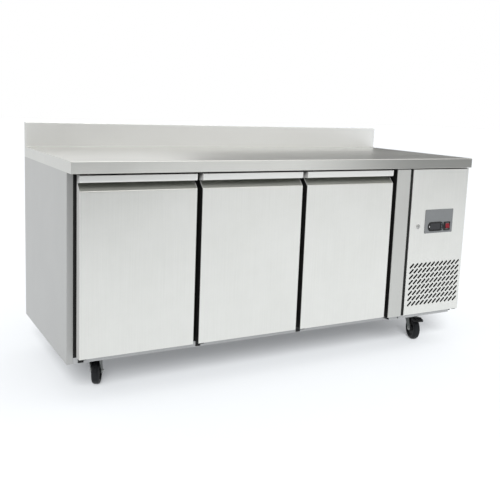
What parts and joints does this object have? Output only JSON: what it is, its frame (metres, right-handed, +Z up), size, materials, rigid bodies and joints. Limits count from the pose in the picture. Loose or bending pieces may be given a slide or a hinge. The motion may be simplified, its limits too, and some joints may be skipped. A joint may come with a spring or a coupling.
{
  "type": "reach in refrigerator",
  "caption": "Counter-height reach-in refrigerator with hinged doors, recessed pull grips, a slotted service panel with controls, an upstand worktop and swivel castors.",
  "frame": {"origin": "on the floor, under the middle of the worktop's length and depth", "axes": "+X along the length to the right as seen from the front, +Y from the doors to the wall, +Z up"},
  "size_m": [1.795, 0.7, 0.95],
  "materials": {
    "stainless": "satin",
    "galvanised": "satin",
    "black_frame": "satin",
    "board": "matte",
    "foam": "matte",
    "white_liner": "satin",
    "chromed_wire": "polished",
    "black_rubber": "matte",
    "black_plastic": "satin",
    "grey_plate": "satin",
    "grey_keys": "satin",
    "red_plastic": "gloss",
    "aluminium_fins": "satin",
    "black_enamel": "satin",
    "copper": "satin",
    "zinc": "satin",
    "chrome_lock": "polished",
    "tyre_rubber": "matte"
  },
  "bodies": {
    "cabinet": {"worktop": "stainless", "worktop_board": "board", "left_side_panel": "stainless", "right_side_panel": "stainless", "back_panel": "galvanised", "base_panel": "galvanised", "front_frame": "black_frame", "mullions": "stainless", "insulation": "foam", "inner_liner": "white_liner", "pillar_cover": "stainless", "seal_strips": "black_rubber", "shelf_supports": "stainless", "shelves": "chromed_wire", "hinge_brackets": "black_frame", "castor_plates": "zinc", "cover_screws": "zinc", "evaporator": "aluminium_fins", "evaporator_cover": "white_liner", "compressor": "black_enamel", "compressor_mounts": "black_rubber", "condenser": "black_enamel", "fan_shroud": "galvanised", "unit_tray": "galvanised", "drip_tray": "galvanised", "refrigerant_lines": "copper", "cable_gland": "black_plastic"},
    "door_1": {"door_1_skin": "stainless", "door_1_core": "foam", "door_1_liner": "white_liner", "door_1_gasket": "black_rubber"},
    "door_2": {"door_2_skin": "stainless", "door_2_core": "foam", "door_2_liner": "white_liner", "door_2_gasket": "black_rubber"},
    "door_3": {"door_3_skin": "stainless", "door_3_core": "foam", "door_3_liner": "white_liner", "door_3_gasket": "black_rubber"},
    "panel": {"service_panel": "stainless", "control_plate": "grey_plate", "thermostat": "black_plastic", "switch_bezel": "black_plastic"},
    "lock": {"panel_lock": "chrome_lock"},
    "key_set": {"key_set": "grey_keys"},
    "key_up": {"key_up": "grey_keys"},
    "key_down": {"key_down": "grey_keys"},
    "rocker": {"rocker_switch": "red_plastic"},
    "evaporator_fan": {"evaporator_fan": "black_plastic"},
    "condenser_fan": {"condenser_fan": "aluminium_fins"},
    "castor_1": {"castor_fork_1": "zinc"},
    "wheel_1": {"castor_wheel_1": "tyre_rubber"},
    "brake_1": {"brake_pedal_1": "black_plastic"},
    "castor_2": {"castor_fork_2": "zinc"},
    "wheel_2": {"castor_wheel_2": "tyre_rubber"},
    "brake_2": {"brake_pedal_2": "black_plastic"},
    "castor_3": {"castor_fork_3": "zinc"},
    "wheel_3": {"castor_wheel_3": "tyre_rubber"},
    "castor_4": {"castor_fork_4": "zinc"},
    "wheel_4": {"castor_wheel_4": "tyre_rubber"}
  },
  "joints": [
    {"name": "door_1_hinge", "type": "hinge", "parent": "cabinet", "child": "door_1", "pos_m": [-0.848, -0.32, 0.48], "axis": [0, 0, -1], "range_deg": [0, 100]},
    {"name": "door_2_hinge", "type": "hinge", "parent": "cabinet", "child": "door_2", "pos_m": [-0.3975, -0.32, 0.48], "axis": [0, 0, -1], "range_deg": [0, 100]},
    {"name": "door_3_hinge", "type": "hinge", "parent": "cabinet", "child": "door_3", "pos_m": [0.053, -0.32, 0.48], "axis": [0, 0, -1], "range_deg": [0, 100]},
    {"name": "panel_hinge", "type": "hinge", "parent": "cabinet", "child": "panel", "pos_m": [0.882, -0.32, 0.48], "axis": [0, 0, 1], "range_deg": [0, 100]},
    {"name": "lock_turn", "type": "hinge", "parent": "panel", "child": "lock", "pos_m": [0.62, -0.34, 0.556], "axis": [0, 1, 0], "range_deg": [0, 90]},
    {"name": "key_set_press", "type": "slide", "parent": "panel", "child": "key_set", "axis": [0, 1, 0], "range_m": [0, 0.0007], "stiffness_N_per_m": 300},
    {"name": "key_up_press", "type": "slide", "parent": "panel", "child": "key_up", "axis": [0, 1, 0], "range_m": [0, 0.0007], "stiffness_N_per_m": 300},
    {"name": "key_down_press", "type": "slide", "parent": "panel", "child": "key_down", "axis": [0, 1, 0], "range_m": [0, 0.0007], "stiffness_N_per_m": 300},
    {"name": "rocker_tilt", "type": "hinge", "parent": "panel", "child": "rocker", "pos_m": [0.7865, -0.333, 0.552], "axis": [1, 0, 0], "range_deg": [0, 16]},
    {"name": "evaporator_fan_spin", "type": "hinge", "parent": "cabinet", "child": "evaporator_fan", "pos_m": [0.449, 0.04, 0.56], "axis": [1, 0, 0], "continuous": true},
    {"name": "condenser_fan_spin", "type": "hinge", "parent": "cabinet", "child": "condenser_fan", "pos_m": [0.735, -0.202, 0.29], "axis": [0, 1, 0], "continuous": true},
    {"name": "castor_1_swivel", "type": "hinge", "parent": "cabinet", "child": "castor_1", "pos_m": [-0.76, -0.185, 0.12], "axis": [0, 0, 1], "continuous": true},
    {"name": "wheel_1_roll", "type": "hinge", "parent": "castor_1", "child": "wheel_1", "pos_m": [-0.74553, -0.15534, 0.05], "axis": [-0.8988, 0.4384, 0], "continuous": true},
    {"name": "brake_1_press", "type": "hinge", "parent": "castor_1", "child": "brake_1", "pos_m": [-0.75211, -0.16882, 0.1055], "axis": [-0.8988, 0.4384, 0], "range_deg": [0, 5]},
    {"name": "castor_2_swivel", "type": "hinge", "parent": "cabinet", "child": "castor_2", "pos_m": [0.76, -0.185, 0.12], "axis": [0, 0, 1], "continuous": true},
    {"name": "wheel_2_roll", "type": "hinge", "parent": "castor_2", "child": "wheel_2", "pos_m": [0.75035, -0.21656, 0.05], "axis": [0.9563, -0.2924, 0], "continuous": true},
    {"name": "brake_2_press", "type": "hinge", "parent": "castor_2", "child": "brake_2", "pos_m": [0.75474, -0.20221, 0.1055], "axis": [0.9563, -0.2924, 0], "range_deg": [0, 5]},
    {"name": "castor_3_swivel", "type": "hinge", "parent": "cabinet", "child": "castor_3", "pos_m": [-0.76, 0.235, 0.12], "axis": [0, 0, 1], "continuous": true},
    {"name": "wheel_3_roll", "type": "hinge", "parent": "castor_3", "child": "wheel_3", "pos_m": [-0.76, 0.268, 0.05], "axis": [-1, 0, 0], "continuous": true},
    {"name": "castor_4_swivel", "type": "hinge", "parent": "cabinet", "child": "castor_4", "pos_m": [0.76, 0.235, 0.12], "axis": [0, 0, 1], "continuous": true},
    {"name": "wheel_4_roll", "type": "hinge", "parent": "castor_4", "child": "wheel_4", "pos_m": [0.76, 0.268, 0.05], "axis": [-1, 0, 0], "continuous": true}
  ]
}
